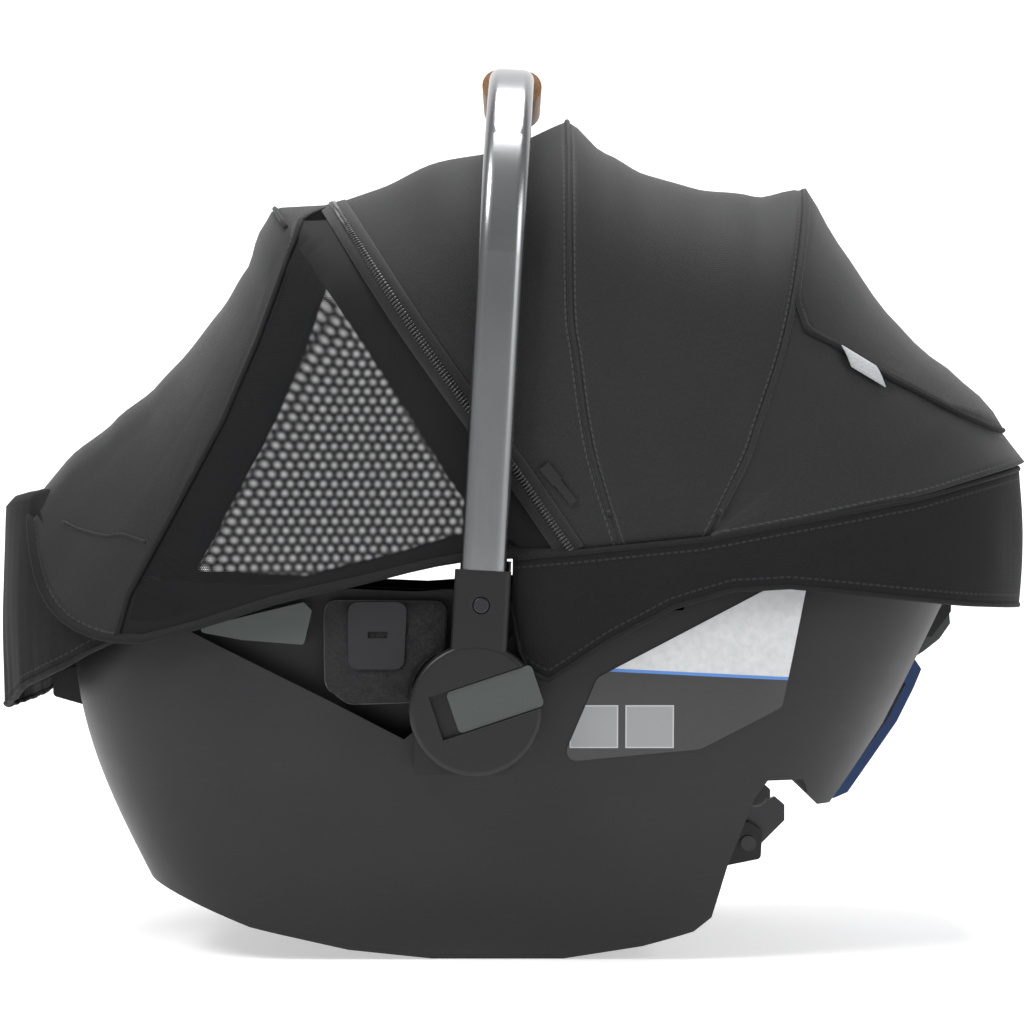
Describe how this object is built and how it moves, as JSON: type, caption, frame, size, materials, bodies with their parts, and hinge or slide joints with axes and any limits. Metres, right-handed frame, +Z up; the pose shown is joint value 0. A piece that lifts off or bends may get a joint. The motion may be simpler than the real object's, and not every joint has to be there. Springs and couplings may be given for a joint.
{
  "type": "infant car seat",
  "caption": "Infant carrier seat with rocker shell, swinging carry handle, folding canopy with mesh drape, harness and base latch hooks.",
  "frame": {"origin": "on the floor under the middle of the carrier's bounding box", "axes": "+X towards the head end, +Z up, -Y the occupant's left side"},
  "size_m": [0.65, 0.4402, 0.5639],
  "materials": {
    "shell_plastic": "fine grained charcoal",
    "inner_plastic": "black, fine grained",
    "foam": "grey bead foam",
    "knit": "near-black knit",
    "canopy_cloth": "charcoal heathered twill with a soft sheen",
    "mesh": "open mesh net",
    "pad_cloth": "quilted charcoal jersey",
    "insert_cloth": "soft grey jersey",
    "webbing": "ribbed webbing",
    "label": "blank light grey film",
    "guide": "grey-green satin",
    "navy": "navy satin",
    "pale_strip": "pale anti-slip",
    "hub_plastic": "dark satin",
    "steel": "brushed",
    "anodised": "satin gunmetal",
    "leatherette": "tan stitched leatherette",
    "bow_plastic": "flat strip",
    "button": "satin button",
    "red": "red button",
    "zip": "coil zip"
  },
  "bodies": {
    "carrier": {"outer_shell": "shell_plastic", "inner_shell": "inner_plastic", "foam_liner": "foam", "seat_pad": "pad_cloth", "infant_insert": "insert_cloth", "head_support": "insert_cloth", "shoulder_straps": "webbing", "shoulder_pads": "pad_cloth", "chest_clip": "hub_plastic", "crotch_strap": "pad_cloth", "buckle_body": "hub_plastic", "adjuster_housing": "hub_plastic", "adjuster_strap": "webbing", "wing_tabs": "button", "side_labels": "label", "rear_belt_guide": "navy", "belt_guide_liner": "pale_strip", "lever_bracket": "hub_plastic", "hook_bearings": "hub_plastic", "foot_lip": "inner_plastic", "rear_skirt": "knit", "foot_boot": "knit", "pivot_bolts": "steel", "lock_gears": "steel", "canopy_mounts": "hub_plastic", "canopy_rear_panel": "canopy_cloth", "vent_flap": "canopy_cloth", "flap_tab": "label", "hub_base_left": "hub_plastic", "hub_base_right": "hub_plastic", "side_belt_guide_left": "guide", "side_belt_guide_right": "guide", "side_wing_left": "pad_cloth", "side_wing_right": "pad_cloth"},
    "handle": {"handle_tube": "anodised", "handle_grip": "leatherette", "hub_cover_left": "hub_plastic", "hub_cover_right": "hub_plastic"},
    "handle_button_left": {"handle_button_left": "button"},
    "handle_button_right": {"handle_button_right": "button"},
    "adapter_slider_left": {"adapter_slider_left": "guide"},
    "adapter_slider_right": {"adapter_slider_right": "guide"},
    "release_lever": {"release_lever": "guide"},
    "latch_hooks": {"latch_hooks": "steel"},
    "buckle_button": {"buckle_button": "red"},
    "adjuster_button": {"adjuster_button": "button"},
    "canopy_rear": {"canopy_bow_rear": "bow_plastic"},
    "canopy_middle": {"canopy_bow_middle": "bow_plastic", "canopy_middle_panel": "canopy_cloth"},
    "canopy_front": {"canopy_bow_front": "bow_plastic", "canopy_front_panel": "canopy_cloth", "canopy_zip": "zip", "zip_pull": "steel", "stay_cloth": "canopy_cloth", "drape_stay": "bow_plastic"},
    "canopy_drape": {"drape_hem": "canopy_cloth", "drape_panel": "canopy_cloth", "drape_mesh_left": "mesh", "drape_mesh_right": "mesh"}
  },
  "joints": [
    {"name": "handle_swing", "type": "hinge", "parent": "carrier", "child": "handle", "pos_m": [-0.022, 0, 0.16], "axis": [0, 1, 0], "range_deg": [0, 108]},
    {"name": "left_button_press", "type": "slide", "parent": "handle", "child": "handle_button_left", "axis": [0, 1, 0], "range_m": [0, 0.004], "stiffness_N_per_m": 600},
    {"name": "right_button_press", "type": "slide", "parent": "handle", "child": "handle_button_right", "axis": [0, -1, 0], "range_m": [0, 0.004], "stiffness_N_per_m": 600},
    {"name": "left_slider_push", "type": "slide", "parent": "handle", "child": "adapter_slider_left", "axis": [-0.9483, 0, -0.3173], "range_m": [0, 0.009], "stiffness_N_per_m": 500},
    {"name": "right_slider_push", "type": "slide", "parent": "handle", "child": "adapter_slider_right", "axis": [-0.9483, 0, -0.3173], "range_m": [0, 0.009], "stiffness_N_per_m": 500},
    {"name": "release_pull", "type": "hinge", "parent": "carrier", "child": "release_lever", "pos_m": [0.281, 0, 0.219], "axis": [0, -1, 0], "range_deg": [0, 22], "stiffness_Nm_per_rad": 0.8},
    {"name": "hook_turn", "type": "hinge", "parent": "carrier", "child": "latch_hooks", "pos_m": [0.152, 0, 0.066], "axis": [0, 1, 0], "range_deg": [0, 25], "stiffness_Nm_per_rad": 0.8},
    {"name": "buckle_press", "type": "slide", "parent": "carrier", "child": "buckle_button", "axis": [0, 0, -1], "range_m": [0, 0.003], "stiffness_N_per_m": 800},
    {"name": "adjuster_press", "type": "slide", "parent": "carrier", "child": "adjuster_button", "axis": [0, 0, -1], "range_m": [0, 0.003], "stiffness_N_per_m": 800},
    {"name": "canopy_fold", "type": "hinge", "parent": "carrier", "child": "canopy_rear", "pos_m": [0.08, 0, 0.232], "axis": [0, 1, 0], "range_deg": [0, 8], "deforming": ["canopy_rear_panel", "vent_flap", "flap_tab"]},
    {"name": "canopy_middle_fold", "type": "hinge", "parent": "canopy_rear", "child": "canopy_middle", "pos_m": [0.08, 0, 0.232], "axis": [0, 1, 0], "range_deg": [0, 7.2], "deforming": ["canopy_middle_panel"]},
    {"name": "canopy_front_fold", "type": "hinge", "parent": "canopy_middle", "child": "canopy_front", "pos_m": [0.08, 0, 0.232], "axis": [0, 1, 0], "range_deg": [0, 6.8], "deforming": ["canopy_front_panel"]},
    {"name": "drape_lift", "type": "hinge", "parent": "canopy_front", "child": "canopy_drape", "pos_m": [0.08, 0, 0.232], "axis": [0, 1, 0], "range_deg": [0, 30], "deforming": ["drape_panel", "drape_mesh_left", "drape_mesh_right"]}
  ],
  "couplings": [
    {"joint": "canopy_middle_fold", "follows": "canopy_fold", "ratio": 0.9},
    {"joint": "canopy_front_fold", "follows": "canopy_fold", "ratio": 0.85},
    {"joint": "hook_turn", "follows": "release_pull", "ratio": 1.1363}
  ]
}
